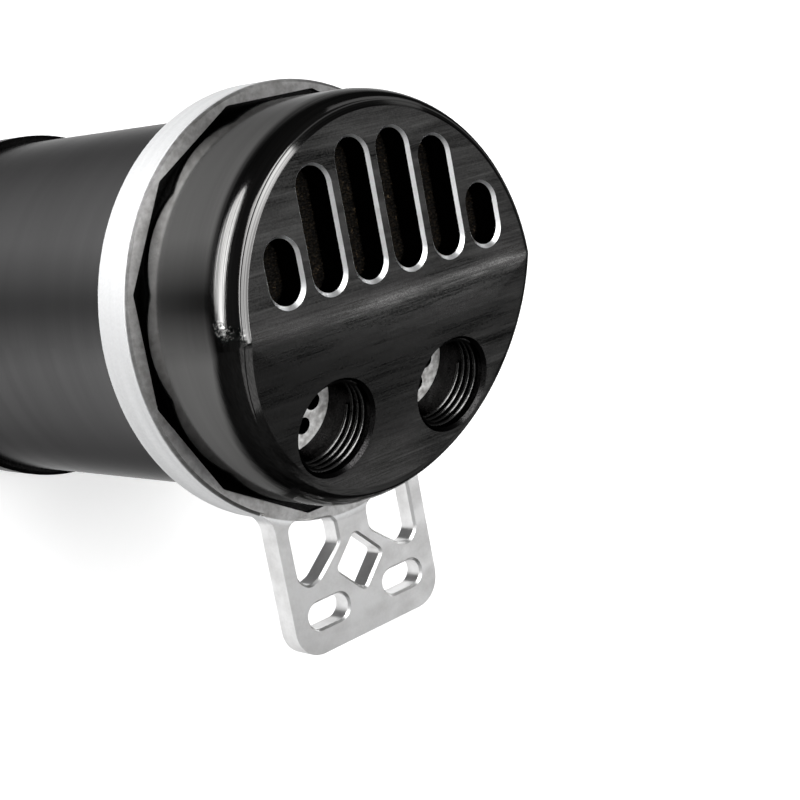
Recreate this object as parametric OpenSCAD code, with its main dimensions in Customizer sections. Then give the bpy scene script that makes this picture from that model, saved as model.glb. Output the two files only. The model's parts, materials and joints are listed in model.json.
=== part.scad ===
// Vented oil catch can with a clocking bracket, standing upright on its base.
// The can's axis is Z, the ports and the bracket's foot face -Y, the breather slots face +Y.

/* [Lid] */
// Outside diameter of the lid
lid_d = 96; // [90:1:110]
// Distance from the lid's side in to its flat top face
face_in = 4.8; // [4:0.1:6]
// Width of the chamfer round the face
rim_w = 1.3; // [0.5:0.1:2]
// Drop of the chamfer round the face
rim_drop = 0.8; // [0.3:0.1:1.5]
// Width of the little ledge outside the chamfer
rim_ledge = 0.3; // [0.1:0.1:0.6]
// Width of the broken edge between the ledge and the shoulder
edge_break = 0.3; // [0.1:0.1:0.5]
// Height of the rounded shoulder round the flat half
shoulder_h = 9.8; // [8:0.2:11]
// Height of the rounded shoulder round the sloping half
slope_shoulder_h = 8.8; // [7:0.2:10]
// Height of the lid from its twelve-sided flange to the top face
skirt_h = 32; // [31:0.5:40]
// Angle of the sloping half that carries the ports
slope_a = 16; // [10:1:18]
// Distance from the can's axis to the crease where the slope starts
crease_y = 1; // [0:0.5:2]
// Width of the softened band along the crease
crease_w = 1.9; // [0.5:0.1:3]
// Thickness of the roof over the breather chamber
roof_t = 7; // [5:0.5:8]
// Wall of the skirt, round the neck
lid_wall = 6; // [5.5:0.1:7]

/* [Breather slots, on a lid of 96 mm] */
// Number of slots, in mirrored pairs
slot_n = 6; // [2:2:6]
// Spacing of the slots
slot_pitch = 12.4; // [11:0.1:13]
// Clear width of a slot
slot_w = 9; // [6:0.1:9.4]
// Chamfer round a slot's mouth
slot_bevel = 0.75; // [0.4:0.05:1.2]
// How far the chamfer stands off towards the ports, so that it is wider at the slots' lower ends
bevel_shift = 0.2; // [0:0.05:0.3]
// Lower end of the slots, measured from the axis to the bevel's edge
slot_y = 5.1; // [4:0.1:8]
// Upper end of the middle pair, measured to the bevel's edge
slot_top_1 = 38.5; // [30:0.5:39]
// Upper end of the second pair
slot_top_2 = 34.5; // [26:0.5:35]
// Upper end of the outer pair
slot_top_3 = 21.2; // [17:0.2:22]

/* [Ports, on a lid of 96 mm] */
// Distance of each port from the middle
port_x = 18.7; // [17:0.1:20]
// Distance of the ports from the crease, down the slope
port_drop = 27.1; // [25:0.1:28]
// Thread diameter of a port, seven eighths of an inch
port_d = 22.2; // [18:0.1:23]
// Diameter of the sealing chamfer at a port's mouth
port_mouth_d = 23.8; // [23.4:0.1:25]
// Depth of a port
port_depth = 15; // [12:0.5:15.5]
// Diameter of the holes drilled in a port's floor
jet_d = 4.2; // [2:0.1:5]
// Spacing of the holes drilled in a port's floor
jet_pitch = 6.1; // [5.4:0.1:7]

/* [Bracket] */
// Wall of the bracket's ring, outside the flats of its pocket
ring_wall = 3.7; // [3:0.1:6]
// Thickness of the ring
ring_h = 11.5; // [10:0.5:16]
// Chamfer on the ring's outside edges
ring_bevel = 0.8; // [0.3:0.1:1.5]
// How far the flats of the twelve-sided pocket stand out from the lid's side
pocket_out = 0.7; // [0.5:0.1:1.5]
// Corner radius of the pocket
pocket_r = 1.5; // [0.5:0.1:3]
// Thickness of the lip under the pocket
lip_h = 3.7; // [2.5:0.1:5]
// Width of the foot
foot_w = 47.4; // [44:0.2:60]
// Reach of the foot, out from the ring
foot_reach = 30.9; // [28:0.1:42]
// Thickness of the foot
foot_t = 5.5; // [4:0.5:8]
// Corner radius of the foot
foot_r = 7.5; // [2:0.5:9]
// Radius of the fillet where the foot leaves the ring
foot_fillet = 6; // [2:0.5:10]
// Width of the foot's outer struts
strut_w = 4.1; // [3:0.1:5]
// Distance of each bolt slot from the middle
bolt_x = 12.4; // [11:0.1:14]
// Distance of the bolt slots from the ring
bolt_out = 21.5; // [20.5:0.1:22.5]
// Width of a bolt slot
bolt_w = 6.5; // [5:0.1:7]
// Length of a bolt slot, end to end
bolt_len = 12.8; // [10:0.1:14]
// Bevel round the foot's openings
foot_bevel = 0.6; // [0.2:0.1:1]
// Half the diagonal of the diamond window
diamond_r = 7.4; // [5:0.1:8]
// Distance of the diamond window's middle from the ring
diamond_out = 12.7; // [11.5:0.1:13.5]

/* [Can] */
// How far the lid stands out over the tube
tube_in = 2; // [1:0.1:3]
// Wall of the tube
tube_t = 3; // [2:0.1:4]
// Height of the tube between the base and the collar
tube_h = 95; // [60:1:160]
// How far the neck ring's collar stands out from the lid's side
collar_out = 0.5; // [0:0.1:2]
// Height of the collar
collar_h = 5; // [3:0.5:8]
// Wall of the neck that screws into the lid
neck_wall = 4.5; // [3.5:0.1:5]
// Height of the neck inside the lid
neck_h = 12.6; // [12:0.1:13]
// Length of the spigots inside the tube
spigot_h = 12; // [8:0.5:20]

/* [Base] */
// How far the base stands out from the tube
base_out = 2; // [1:0.1:6]
// Height of the base below the tube
base_h = 14; // [13:0.5:24]
// Rounding of the base's lower edge
base_round = 3; // [1:0.5:5]
// Thickness of the base's floor over the drain recess
base_floor = 7; // [5:0.5:12]
// Thread diameter of the drain plug
drain_d = 14; // [10:1:18]
// Length of the drain plug's thread
drain_len = 9; // [6:0.5:12]
// Head diameter of the drain plug
drain_head_d = 22; // [20:0.5:26]
// Head height of the drain plug
drain_head_h = 5; // [3:0.5:6]
// Width across flats of the socket in the drain plug
drain_hex = 8; // [5:0.5:10]
// Thickness of the drain plug's seal
drain_seal_t = 1.5; // [1:0.1:2]

/* [Breather pack] */
// Thickness of the foam under the slots
foam_t = 9; // [5:0.5:11]
// Thickness of the gauze under the foam
gauze_t = 0.8; // [0.5:0.1:1.5]
// Thickness of the retainer plate
retainer_t = 2; // [1.5:0.1:3]
// Diameter of the holes in the retainer plate
retainer_hole_d = 4; // [2:0.5:5]
// Spacing of the holes in the retainer plate
retainer_pitch = 7; // [6:0.5:10]
// Thread diameter of the retainer screws
retainer_screw_d = 4; // [3:0.5:4]

/* [Splash plate] */
// Gap between the splash plate and the neck's bore
splash_gap = 1.5; // [1:0.1:6]
// Thickness of the splash plate
splash_t = 1.5; // [1:0.1:3]
// Height of the standoffs that carry the splash plate
standoff_h = 18; // [10:1:30]
// Diameter of a standoff
standoff_d = 8; // [6:0.5:9]
// Thread diameter of the splash plate's screws
splash_screw_d = 4; // [3:0.5:5]
// Diameter of the drip holes in the splash plate
drip_d = 5; // [3:0.5:8]

/* [Seals and fits] */
// Section diameter of the O-rings
seal_section = 2.4; // [1.5:0.1:3]
// Running clearance of the neck, the bracket and the drain plug, on the radius
run_gap = 0.06; // [0.02:0.01:0.1]
// Clearance of the lid's flange in the bracket's pocket, on each flat
pocket_gap = 0.2; // [0.1:0.05:0.4]
// Clearance of the pieces that lie in the breather chamber
pack_gap = 0.15; // [0.05:0.05:0.4]
// How far the lid's flange lies below the bracket's top face
flange_sink = 0.8; // [0.2:0.1:1.5]

/* [Hidden] */
$fn = 128;

// Heights, from the surface that the can stands on
z_collar = base_h + tube_h;
z_ring = z_collar + collar_h;
z_flange = z_ring + lip_h;
z_skirt = z_ring + ring_h - flange_sink;
z_top = z_skirt + skirt_h;
z_neck = z_flange + neck_h;
neck_room = 0.4;
z_ceiling = z_neck + neck_room;
z_roof = z_top - roof_t;

// Lid
pattern_d = 96;
grow = lid_d / pattern_d;
lid_r = lid_d / 2;
neck_d = lid_d - 2 * lid_wall;
lid_bore_r = neck_d / 2 + run_gap;
face_r = lid_r - face_in;
rim_r = face_r + rim_w;
rim_over = 0.1;
shoulder_from = 24;
shoulder_step = 6.6;
crown_reach = 4;
crown_depth = z_top - z_flange + lid_r;
boss_gap = 0.5;
boss_drop = 3.7;
boss_back = 7;
neck_bore_d = neck_d - 2 * neck_wall;
boss_r = neck_bore_d / 2 - boss_gap;
boss_z = z_ceiling - boss_drop;
boss_y = crease_y - boss_back;
chamber_back = 2;
chamber_y = crease_y + chamber_back;
chamber_r = lid_bore_r - 2;
ledge_w = 7;
ledge_y = chamber_y - ledge_w;
ledge_r = lid_bore_r - 0.5;
jet_len = boss_drop + port_depth - 2;
port_clear = 8;
slot_tops = [slot_top_1, slot_top_2, slot_top_3];

// Breather pack
pack_top = z_roof;
gauze_z = pack_top - foam_t - gauze_t;
retainer_z = z_ceiling;
mesh_z = retainer_z + retainer_t;
retainer_screw_y = (chamber_y + ledge_y) / 2;
retainer_screw_share = 0.625;
retainer_screw_x = ledge_r * retainer_screw_share * [-1, 0, 1];
retainer_screw_len = 9;
retainer_rim = 5;
screw_head_ratio = 1.7;
screw_head_rise = 0.55;
socket_ratio = 0.6;
socket_share = 0.7;
screw_slack = 0.1;
screw_hole_slack = 0.2;
screw_end_gap = 0.5;

// Splash plate
standoff_in = 6;
standoff_at = [for (a = [-90, -17.5, -162.5]) (boss_r - standoff_in) * [cos(a), sin(a)]];
splash_d = neck_bore_d - 2 * splash_gap;
splash_z = boss_z - standoff_h - splash_t;
splash_screw_len = 8;
standoff_stud_len = 4.5;
drip_rings = [[6, 30], [16, 60]];

// Seals
groove_slack = 0.6;
groove_w = seal_section + groove_slack;
lid_seal_slack = 0.04;
tube_seal_slack = 0.02;

// Bracket
pocket_af = lid_d + 2 * pocket_out;
ring_r = pocket_af / 2 + ring_wall;
foot_y = ring_r + foot_reach;
bolt_y = ring_r + bolt_out;
diamond_y = ring_r + diamond_out;
z_ring_top = z_ring + ring_h;
z_foot = z_ring_top - foot_t;
foot_x = foot_w / 2;
window_x1 = 5.3;
window_r = 2.6;
window_break = 6.8;
window_low = [[0, 5.2], [0.9, -1.2], [-2.6, -2.2], [0, 0.3]];
diamond_round = 1.2;

// Can and base
tube_d = lid_d - 2 * tube_in;
collar_d = lid_d + 2 * collar_out;
base_d = tube_d + 2 * base_out;
tube_bore_r = tube_d / 2 - tube_t;
spigot_gap = 0.05;
spigot_r = tube_bore_r - spigot_gap;
recess_gap = 3;
recess_d = drain_head_d + 2 * recess_gap;
base_spigot_wall = 6;
base_bevel = 1;
plug_bevel = 1;
recess_h = base_h - base_floor;
drain_z = recess_h;

// Points of an arc about c, from angle a0 to a1
function arc(c, r, a0, a1, n = 8) =
    [for (i = [0 : n]) let (a = a0 + (a1 - a0) * i / n) c + r * [cos(a), sin(a)]];

// One rounded corner at b, between the sides from a and to c
function corner(a, b, c, r, n = 6) =
    let (
        u = (a - b) / norm(a - b),
        v = (c - b) / norm(c - b),
        half = acos(u * v) / 2,
        mid = (u + v) / norm(u + v),
        o = b + mid * r / sin(half),
        p = b + u * r / tan(half),
        q = b + v * r / tan(half),
        a0 = atan2(p[1] - o[1], p[0] - o[0]),
        turn = atan2(q[1] - o[1], q[0] - o[0]) - a0,
        sweep = turn > 180 ? turn - 360 : turn < -180 ? turn + 360 : turn
    )
    arc(o, r, a0, a0 + sweep, n);

// A polygon with all its corners rounded to r
function rounded(pts, r, n = 6) =
    let (m = len(pts))
    [for (i = [0 : m - 1]) each corner(pts[(i + m - 1) % m], pts[i], pts[(i + 1) % m], r, n)];

// Corners of a regular polygon, from its size across the flats
function ngon_points(af, n) =
    [for (i = [0 : n - 1]) let (a = 360 * (i + 0.5) / n) af / 2 / cos(180 / n) * [cos(a), sin(a)]];

// Each point pushed outwards from its neighbours' line by d
function grown(pts, d) =
    let (m = len(pts))
    [for (i = [0 : m - 1])
        let (
            t = pts[(i + 1) % m] - pts[(i + m - 1) % m],
            k = t / norm(t)
        )
        pts[i] + d * [k[1], -k[0]]];

module at_port(side) {
    translate([side * grow * port_x, crease_y, z_top])
        rotate([slope_a, 0, 0])
            translate([0, -grow * port_drop, 0])
                children();
}

// A slot with round ends, lying along Y between two centres
module slot_solid(y0, y1, r, h) {
    for (y = [y0, y1]) translate([0, y, 0]) cylinder(r = r, h = h);
    translate([-r, y0, 0]) cube([2 * r, y1 - y0, h]);
}

// The bevel at a slot's mouth: r at the bottom, r + b at the top
module slot_bevel_solid(y0, y1, r, b) {
    for (y = [y0, y1]) translate([0, y, 0]) cylinder(r1 = r, r2 = r + b, h = b);
    translate([0, y1, 0])
        rotate([90, 0, 0])
            linear_extrude(y1 - y0)
                polygon([[-r, 0], [r, 0], [r + b, b], [-r - b, b]]);
}

// Flat face, chamfered rim with its ledge, and rounded shoulder of the height h
module crown(h) {
    edge = rim_r + rim_ledge;
    inner = edge + edge_break;
    top = rim_drop + edge_break * rim_drop / rim_w;
    run = (lid_r + rim_over - inner) / (1 - sin(shoulder_from));
    fall = h / cos(shoulder_from);
    start = [inner - run * sin(shoulder_from), fall * cos(shoulder_from) + top];
    rotate_extrude() polygon(concat(
        [[0, 0], [face_r, 0], [rim_r, -rim_drop], [edge, -rim_drop]],
        [for (a = [shoulder_from : shoulder_step : 90])
            [start[0] + run * sin(a), -start[1] + fall * cos(a)]],
        [[lid_r + crown_reach, -crown_depth], [0, -crown_depth]]
    ));
}

// The sloping half follows the same rim, let down along the slope
module sloped_crown() {
    k = tan(slope_a);
    multmatrix([[1, 0, 0, 0], [0, 1, 0, 0], [0, k, 1, -k * crease_y], [0, 0, 0, 1]])
        crown(slope_shoulder_h);
}

module lid_outside() {
    intersection() {
        translate([0, 0, z_flange]) cylinder(r = lid_r, h = z_top - z_flange + 1);
        translate([0, 0, z_top]) crown(shoulder_h);
        translate([0, 0, z_top]) sloped_crown();
    }
}

module half_disc(r, y, h) {
    intersection() {
        cylinder(r = r, h = h);
        translate([-r - 1, y, -1]) cube([2 * r + 2, r - y + 1, h + 2]);
    }
}

module breather_slots() {
    r = grow * slot_w / 2;
    for (i = [0 : slot_n - 1]) {
        k = abs(i - (slot_n - 1) / 2) - 0.5;
        x = grow * (i - (slot_n - 1) / 2) * slot_pitch;
        y0 = grow * slot_y + r + slot_bevel;
        y1 = grow * slot_tops[k] - r - slot_bevel;
        translate([x, bevel_shift, z_roof - 1]) slot_solid(y0, y1, r, roof_t + 2);
        translate([x, bevel_shift, z_top - slot_bevel])
            multmatrix([[1, 0, 0, 0], [0, 1, -bevel_shift / slot_bevel, 0], [0, 0, 1, 0], [0, 0, 0, 1]])
                slot_bevel_solid(y0, y1, r, slot_bevel);
        translate([x, 0, z_top]) slot_solid(y0, y1, r + slot_bevel, 1);
    }
}

module port_cuts() {
    mouth = (port_mouth_d - port_d) / 2;
    for (side = [-1, 1]) at_port(side) {
        translate([0, 0, -port_depth]) cylinder(d = port_d, h = port_depth + port_clear);
        translate([0, 0, -mouth]) cylinder(d1 = port_d, d2 = port_mouth_d, h = mouth);
        cylinder(d = port_mouth_d, h = port_clear);
        translate([0, 0, -port_depth - jet_len]) {
            cylinder(d = jet_d, h = jet_len + 1);
            for (a = [0 : 60 : 300]) rotate([0, 0, a])
                translate([jet_pitch, 0, 0]) cylinder(d = jet_d, h = jet_len + 1);
        }
    }
}

module screw_holes(d, depth, places) {
    for (p = places) translate([p[0], p[1], 0]) cylinder(d = d, h = depth);
}

retainer_screw_at = [for (x = retainer_screw_x) [x, retainer_screw_y]];

module lid() {
    color("#1d1d1f") difference() {
        union() {
            difference() {
                union() {
                    lid_outside();
                    translate([0, 0, z_flange])
                        linear_extrude(z_skirt - z_flange)
                            polygon(rounded(ngon_points(pocket_af - 2 * pocket_gap, 12), pocket_r));
                }
                translate([0, 0, z_flange - 1]) cylinder(r = lid_bore_r, h = z_ceiling - z_flange + 1);
            }
            translate([0, 0, boss_z])
                rotate([0, 0, 180])
                    half_disc(boss_r, -boss_y, z_ceiling - boss_z + 1);
        }
        translate([-lid_d, crease_y, z_top])
            rotate([slope_a / 2, 0, 0])
                translate([0, -crease_w, -crease_w / 2 * sin(slope_a / 2)])
                    cube([2 * lid_d, 2 * crease_w, 4]);
        translate([0, 0, z_ceiling - 1]) half_disc(chamber_r, chamber_y, z_roof - z_ceiling + 1);
        translate([0, 0, z_ceiling - 1]) half_disc(ledge_r, ledge_y, retainer_t + 1);
        translate([0, 0, mesh_z])
            screw_holes(retainer_screw_d, retainer_screw_len - retainer_t, retainer_screw_at);
        translate([0, 0, boss_z - 1])
            screw_holes(splash_screw_d, standoff_stud_len + screw_end_gap + 1, standoff_at);
        breather_slots();
        port_cuts();
    }
}

module pack_layer(z, h) {
    translate([0, 0, z]) half_disc(chamber_r - pack_gap, chamber_y + pack_gap, h);
}

module breather_foam() {
    color("#26211c") pack_layer(pack_top - foam_t, foam_t);
}

module breather_gauze() {
    color("#9a9a96") pack_layer(gauze_z, gauze_t);
}

module mesh_pad() {
    color("#a9aaa8") pack_layer(mesh_z, gauze_z - mesh_z);
}

module retainer_plate() {
    reach = chamber_r - retainer_rim;
    n = ceil(reach / retainer_pitch);
    color("#b5b7b8") difference() {
        translate([0, 0, retainer_z]) half_disc(ledge_r - pack_gap, ledge_y + pack_gap, retainer_t);
        translate([0, 0, retainer_z - 1]) {
            for (i = [-n : n]) for (j = [0 : n]) {
                p = [i * retainer_pitch, chamber_y + retainer_rim + j * retainer_pitch];
                if (norm(p) < reach) translate(p) cylinder(d = retainer_hole_d, h = retainer_t + 2);
            }
            screw_holes(retainer_screw_d + screw_hole_slack, retainer_t + 2, retainer_screw_at);
        }
    }
}

module retainer_screws() {
    color("#c2c4c6") for (p = retainer_screw_at)
        translate([p[0], p[1], retainer_z])
            socket_screw(retainer_screw_d, retainer_screw_len - screw_end_gap);
}

// A socket screw: the shank points up from the face at zero, the head hangs below it
module socket_screw(d, len) {
    head_d = screw_head_ratio * d;
    head_h = screw_head_rise * d;
    edge = head_h / 4;
    socket_d = socket_ratio * d / cos(30);
    difference() {
        union() {
            cylinder(d = d - screw_slack, h = len);
            translate([0, 0, -head_h + edge]) cylinder(d = head_d, h = head_h - edge);
            translate([0, 0, -head_h]) cylinder(d1 = head_d - 2 * edge, d2 = head_d, h = edge);
        }
        translate([0, 0, -head_h - 1]) cylinder(d = socket_d, h = 1 + socket_share * head_h, $fn = 6);
    }
}

module splash_standoffs() {
    color("#b9bbbd") for (p = standoff_at) translate([p[0], p[1], boss_z]) {
        translate([0, 0, -standoff_h]) difference() {
            cylinder(d = standoff_d / cos(30), h = standoff_h, $fn = 6);
            translate([0, 0, -1]) cylinder(d = splash_screw_d, h = splash_screw_len + 1);
        }
        cylinder(d = splash_screw_d - screw_slack, h = standoff_stud_len);
    }
}

module splash_plate() {
    color("#b5b7b8") translate([0, 0, splash_z]) difference() {
        cylinder(d = splash_d, h = splash_t);
        translate([0, 0, -1]) {
            screw_holes(splash_screw_d + screw_hole_slack, splash_t + 2, standoff_at);
            for (ring = drip_rings)
                for (a = [ring[1] : 30 : 180 - ring[1]])
                    rotate([0, 0, a])
                        translate([splash_d / 2 - ring[0], 0, 0]) cylinder(d = drip_d, h = splash_t + 2);
        }
    }
}

module splash_screws() {
    color("#c2c4c6") for (p = standoff_at)
        translate([p[0], p[1], splash_z])
            socket_screw(splash_screw_d, splash_t + splash_screw_len - 2 * screw_end_gap);
}

// Outline of the strutted window on the +X side: its upper side follows the ring
function window_points() =
    let (
        x1 = window_x1,
        x2 = foot_x - strut_w,
        xm = (x1 + x2) / 2,
        low = -bolt_y + bolt_w / 2 + window_break,
        on_ring = function (x) -sqrt(pow(ring_r, 2) - pow(x, 2)),
        ends = [x1, xm, x2, x2]
    )
    concat(
        [[x1, on_ring(x1)]],
        [for (i = [0 : 3]) [ends[i], low] + window_low[i]],
        [[x2, on_ring(x2)], [xm, on_ring(xm)]]
    );

diamond_points = [for (a = [-90, 0, 90, 180]) [diamond_r * cos(a), -diamond_y + diamond_r * sin(a)]];

// A prism with the outline pts and its edge flared by b over the same height
module flare(pts, b) {
    m = len(pts);
    big = grown(pts, b);
    polyhedron(
        points = concat(
            [for (p = pts) [p[0], p[1], 0]],
            [for (p = big) [p[0], p[1], b]],
            [for (p = big) [p[0], p[1], b + 1]]
        ),
        faces = concat(
            [[for (i = [0 : m - 1]) i]],
            [for (k = [0, 1]) for (i = [0 : m - 1]) let (j = (i + 1) % m)
                [k * m + i, k * m + m + i, k * m + m + j, k * m + j]],
            [[for (i = [m - 1 : -1 : 0]) 2 * m + i]]
        )
    );
}

// A foot opening right through the foot, flared at both faces
module foot_opening(pts) {
    translate([0, 0, z_foot - 1]) linear_extrude(foot_t + 2) polygon(pts);
    translate([0, 0, z_ring_top - foot_bevel]) flare(pts, foot_bevel);
    translate([0, 0, z_foot + foot_bevel]) mirror([0, 0, 1]) flare(pts, foot_bevel);
}

module bolt_slot() {
    r = bolt_w / 2;
    half = bolt_len / 2 - r;
    rotate([0, 0, 90]) {
        translate([0, 0, z_foot - 1]) slot_solid(-half, half, r, foot_t + 2);
        translate([0, 0, z_ring_top - foot_bevel]) slot_bevel_solid(-half, half, r, foot_bevel);
        translate([0, 0, z_foot + foot_bevel])
            mirror([0, 0, 1])
                slot_bevel_solid(-half, half, r, foot_bevel);
    }
}

// Plan of the foot, with round corners and fillets against the ring
module foot_plan() {
    f = foot_fillet;
    fy = -sqrt(pow(ring_r + f, 2) - pow(foot_x + f, 2));
    side = concat(
        arc([foot_x - foot_r, -foot_y + foot_r], foot_r, -90, 0, 10),
        arc([foot_x + f, fy], f, 180, atan2(-fy, -foot_x - f), 10)
    );
    mirrored = [for (i = [len(side) - 1 : -1 : 0]) [-side[i][0], side[i][1]]];
    polygon(concat(side, [[0, -neck_d / 2 - 2]], mirrored));
}

module bracket() {
    window = rounded(window_points(), window_r, 5);
    diamond = rounded(diamond_points, diamond_round, 4);
    color("#c9cbcd") difference() {
        union() {
            translate([0, 0, z_ring]) rotate_extrude() polygon([
                [neck_d / 2 + run_gap, 0],
                [ring_r - ring_bevel, 0],
                [ring_r, ring_bevel],
                [ring_r, ring_h - ring_bevel],
                [ring_r - ring_bevel, ring_h],
                [neck_d / 2 + run_gap, ring_h]
            ]);
            difference() {
                translate([0, 0, z_foot]) linear_extrude(foot_t) foot_plan();
                foot_opening(window);
                mirror([1, 0, 0]) foot_opening(window);
                foot_opening(diamond);
                for (side = [-1, 1]) translate([side * bolt_x, -bolt_y, 0]) bolt_slot();
            }
        }
        translate([0, 0, z_flange])
            linear_extrude(ring_h) polygon(rounded(ngon_points(pocket_af, 12), pocket_r));
        translate([0, 0, z_ring - 1]) cylinder(r = neck_d / 2 + run_gap, h = ring_h + 2);
    }
}

// An O-ring in the groove whose floor has the radius r
module o_ring(r, z) {
    translate([0, 0, z]) rotate_extrude() translate([r + seal_section / 2, 0]) circle(d = seal_section);
}

module seal_groove(r_floor, r_out, z) {
    translate([0, 0, z - groove_w / 2]) difference() {
        cylinder(r = r_out + 1, h = groove_w);
        translate([0, 0, -1]) cylinder(r = r_floor, h = groove_w + 2);
    }
}

lid_seal_z = z_neck - groove_w;
lid_seal_floor = lid_bore_r - seal_section - lid_seal_slack;
tube_seal_floor = tube_bore_r - seal_section - tube_seal_slack;
neck_seal_z = z_collar - spigot_h + groove_w;
base_seal_z = base_h + spigot_h - groove_w;

module neck_ring() {
    color("#1d1d1f") difference() {
        union() {
            translate([0, 0, z_collar]) cylinder(d = collar_d, h = collar_h);
            translate([0, 0, z_collar]) cylinder(d = neck_d, h = z_neck - z_collar);
            translate([0, 0, z_collar - spigot_h]) cylinder(r = spigot_r, h = spigot_h + collar_h);
        }
        translate([0, 0, z_collar - spigot_h - 1])
            cylinder(d = neck_bore_d, h = z_neck - z_collar + spigot_h + 2);
        seal_groove(lid_seal_floor, neck_d / 2, lid_seal_z);
        seal_groove(tube_seal_floor, spigot_r, neck_seal_z);
    }
}

module lid_seal() {
    color("#111111") o_ring(lid_seal_floor, lid_seal_z);
}

module neck_seal() {
    color("#111111") o_ring(tube_seal_floor, neck_seal_z);
}

module can_tube() {
    color("#19191a") translate([0, 0, base_h]) difference() {
        cylinder(d = tube_d, h = tube_h);
        translate([0, 0, -1]) cylinder(r = tube_bore_r, h = tube_h + 2);
    }
}

module base_cap() {
    r = base_d / 2;
    color("#1d1d1f") difference() {
        union() {
            rotate_extrude() polygon(concat(
                [[0, 0]],
                arc([r - base_round, base_round], base_round, -90, 0, 8),
                [[r, base_h - base_bevel], [r - base_bevel, base_h], [0, base_h]]
            ));
            translate([0, 0, base_h - base_bevel]) cylinder(r = spigot_r, h = spigot_h + base_bevel);
        }
        translate([0, 0, base_h]) cylinder(r = tube_bore_r - base_spigot_wall, h = spigot_h + 1);
        translate([0, 0, -1]) cylinder(d = recess_d, h = recess_h + 1);
        cylinder(r = drain_d / 2 + run_gap, h = base_h + 1);
        seal_groove(tube_seal_floor, spigot_r, base_seal_z);
    }
}

module base_seal() {
    color("#111111") o_ring(tube_seal_floor, base_seal_z);
}

module drain_seal() {
    color("#8d5a34") translate([0, 0, drain_z - drain_seal_t]) difference() {
        cylinder(d = drain_head_d, h = drain_seal_t);
        translate([0, 0, -1]) cylinder(r = drain_d / 2 + run_gap, h = drain_seal_t + 2);
    }
}

module drain_plug() {
    head_top = drain_z - drain_seal_t;
    color("#c2c4c6") translate([0, 0, head_top]) difference() {
        union() {
            cylinder(d = drain_d, h = drain_seal_t + drain_len);
            translate([0, 0, -drain_head_h]) rotate_extrude() polygon([
                [0, 0],
                [drain_head_d / 2 - plug_bevel, 0],
                [drain_head_d / 2, plug_bevel],
                [drain_head_d / 2, drain_head_h],
                [0, drain_head_h]
            ]);
        }
        translate([0, 0, -drain_head_h - 1])
            cylinder(d = drain_hex / cos(30), h = drain_head_h + 3, $fn = 6);
    }
}

lid();
breather_foam();
breather_gauze();
mesh_pad();
retainer_plate();
retainer_screws();
splash_standoffs();
splash_plate();
splash_screws();
bracket();
neck_ring();
lid_seal();
neck_seal();
can_tube();
base_cap();
base_seal();
drain_seal();
drain_plug();
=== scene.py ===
# %% [markdown]
# # A vented oil catch can
# The can stands on its base. Its black anodised lid has breather slots over dark foam on the flat half
# and two threaded ports on the sloping half, and a bare aluminium bracket clamps round the neck.
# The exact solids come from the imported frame; this script gives them their edges, threads and finishes.

# %% Load the frame
import json
import math

import bmesh
import bpy
from mathutils import Matrix, Vector

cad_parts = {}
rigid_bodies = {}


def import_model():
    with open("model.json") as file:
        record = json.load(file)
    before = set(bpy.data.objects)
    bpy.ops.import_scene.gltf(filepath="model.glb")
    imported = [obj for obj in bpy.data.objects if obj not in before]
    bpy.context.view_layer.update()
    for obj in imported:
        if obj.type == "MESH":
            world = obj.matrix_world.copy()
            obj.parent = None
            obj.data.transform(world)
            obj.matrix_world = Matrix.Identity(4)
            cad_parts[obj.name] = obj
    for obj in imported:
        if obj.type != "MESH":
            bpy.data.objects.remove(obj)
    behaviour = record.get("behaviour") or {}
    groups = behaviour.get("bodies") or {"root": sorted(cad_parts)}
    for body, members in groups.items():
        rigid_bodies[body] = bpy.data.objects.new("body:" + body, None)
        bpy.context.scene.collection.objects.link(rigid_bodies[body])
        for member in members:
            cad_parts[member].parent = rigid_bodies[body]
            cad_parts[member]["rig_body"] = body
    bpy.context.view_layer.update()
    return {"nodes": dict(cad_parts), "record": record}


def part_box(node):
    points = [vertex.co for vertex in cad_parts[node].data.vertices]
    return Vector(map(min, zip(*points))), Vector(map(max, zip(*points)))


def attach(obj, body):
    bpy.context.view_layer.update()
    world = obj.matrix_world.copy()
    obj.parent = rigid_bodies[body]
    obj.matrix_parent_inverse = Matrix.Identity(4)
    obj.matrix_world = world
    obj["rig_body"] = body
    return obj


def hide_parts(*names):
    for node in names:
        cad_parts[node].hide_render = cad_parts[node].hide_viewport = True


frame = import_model()
MM = 0.001
MM_IN_M = 1000.0

# %% [markdown]
# ## Sizes that the finishes share
# The lid's top face and the ports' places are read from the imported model, so the finishes and the threads
# stay in place when a height of the source changes. The radii where one finish gives way to another are
# written down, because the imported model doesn't name them.

# %% Sizes that the finishes share
LID_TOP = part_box("lid")[1].z
LID_R = 48 * MM
RING_R = 52.4 * MM
FACE_R = 43.2 * MM
PORTS = [m for m in frame["record"]["mounts"] if m["kind"] == "threaded_hole"]
print("lid top", round(LID_TOP, 4), "ports", [m["name"] for m in PORTS])

# %% [markdown]
# ## Camera
# The view looks down on the lid from the can's left at about 47 degrees, with a long lens. The camera is
# rolled by almost a quarter turn, so that the can's axis lies level in the picture.

# %% Camera
CAMERA_AT = Vector((-0.26709, 0.06039, 0.44951))
CAMERA_AIM = Vector((-0.00481, -0.02267, 0.1567))
CAMERA_ROLL = math.radians(-92.468)
SENSOR_MM = 36.0
LENS_MM = 80.153
FRAME_SHIFT = (-0.0031, 0.0030)


def aimed(at, aim, roll=0.0):
    """The matrix of a camera or lamp that stands at one point and looks at another."""
    forward = (aim - at).normalized()
    level_right = forward.cross(Vector((0, 0, 1))).normalized()
    level_up = level_right.cross(forward)
    up = level_up * math.cos(roll) + level_right * math.sin(roll)
    turn = Matrix((forward.cross(up), up, -forward)).transposed()
    return Matrix.Translation(at) @ turn.to_4x4()


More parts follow.
